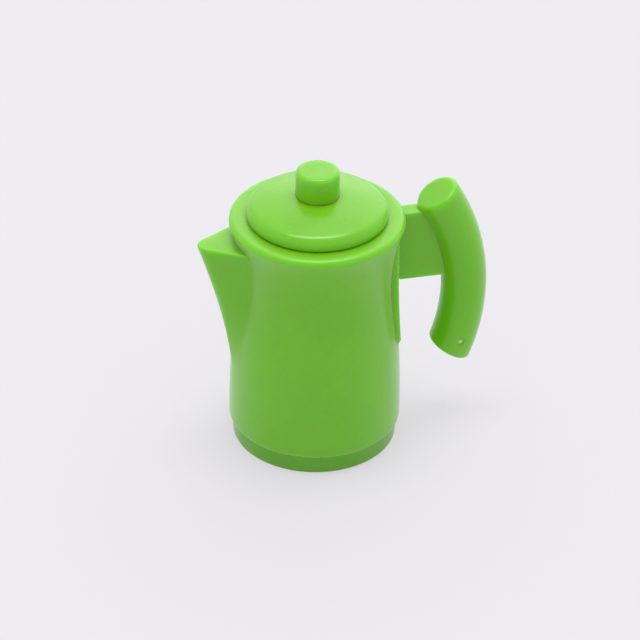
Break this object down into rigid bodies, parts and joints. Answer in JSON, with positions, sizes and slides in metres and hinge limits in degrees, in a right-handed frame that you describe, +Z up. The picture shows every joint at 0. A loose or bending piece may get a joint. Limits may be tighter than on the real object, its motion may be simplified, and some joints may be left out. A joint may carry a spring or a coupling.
{
  "type": "toy coffee pot",
  "caption": "Small one-colour play coffee pot with a waisted hollow body, a beak spout, a stepped foot, a bar grip on a flat web, and a domed lid with a round knob that lifts off.",
  "frame": {"origin": "middle of the foot's flat underside", "axes": "+Z up through the mouth and the knob, +X towards the handle, -X towards the spout"},
  "size_m": [0.0273, 0.016, 0.0281],
  "materials": {
    "pot_plastic": "satin moulded green plastic",
    "lid_plastic": "green moulded plastic, a little glossier than the pot"
  },
  "bodies": {
    "pot": {"base_plug": "pot_plastic", "pot_shell": "pot_plastic", "handle": "pot_plastic"},
    "lid": {"lid": "lid_plastic", "lid_knob": "lid_plastic"}
  },
  "joints": [
    {"name": "lid_lift", "type": "slide", "parent": "pot", "child": "lid", "axis": [0, 0, 1], "range_m": [0, 0.012]}
  ]
}
